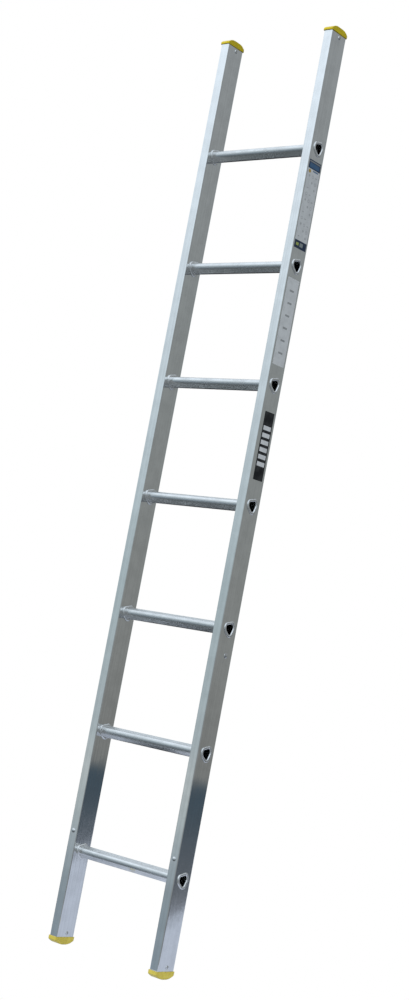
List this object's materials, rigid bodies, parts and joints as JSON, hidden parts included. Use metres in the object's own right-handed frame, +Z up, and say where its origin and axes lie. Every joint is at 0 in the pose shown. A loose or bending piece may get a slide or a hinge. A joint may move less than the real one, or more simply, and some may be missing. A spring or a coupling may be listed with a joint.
{
  "type": "leaning ladder",
  "caption": "Single-section aluminium leaning ladder with box stiles, tilted shield-shaped swaged rungs, and domed yellow plastic feet and end caps.",
  "frame": {"origin": "on the ground under the soles, midway between the two stiles and midway through their depth", "axes": "+Z up the stiles to the top caps, +X along the rungs to the climber's right, where the labels are, -Y towards the climber"},
  "size_m": [0.3074, 0.0553, 1.9842],
  "materials": {
    "stile_aluminium": "satin mill-finish extrusion with fine lengthwise drawing lines",
    "rung_aluminium": "satin mill-finish extrusion with a grooved tread",
    "rivet_metal": "bright rivet",
    "yellow_plastic": "moulded polypropylene, lightly textured",
    "instruction_film": "silver film with blue bands",
    "silver_film": "silver film",
    "stripe_film": "black and white film"
  },
  "bodies": {
    "root": {"left_stile": "stile_aluminium", "right_stile": "stile_aluminium", "rung_1": "rung_aluminium", "rung_2": "rung_aluminium", "rung_3": "rung_aluminium", "rung_4": "rung_aluminium", "rung_5": "rung_aluminium", "rung_6": "rung_aluminium", "rung_7": "rung_aluminium", "foot_left": "yellow_plastic", "top_cap_left": "yellow_plastic", "foot_rivets_left": "rivet_metal", "top_cap_rivets_left": "rivet_metal", "front_rivet_left": "rivet_metal", "side_rivet_left": "rivet_metal", "foot_right": "yellow_plastic", "top_cap_right": "yellow_plastic", "foot_rivets_right": "rivet_metal", "top_cap_rivets_right": "rivet_metal", "front_rivet_right": "rivet_metal", "side_rivet_right": "rivet_metal", "instruction_label": "instruction_film", "data_label": "silver_film", "stripe_label": "stripe_film"}
  },
  "joints": []
}
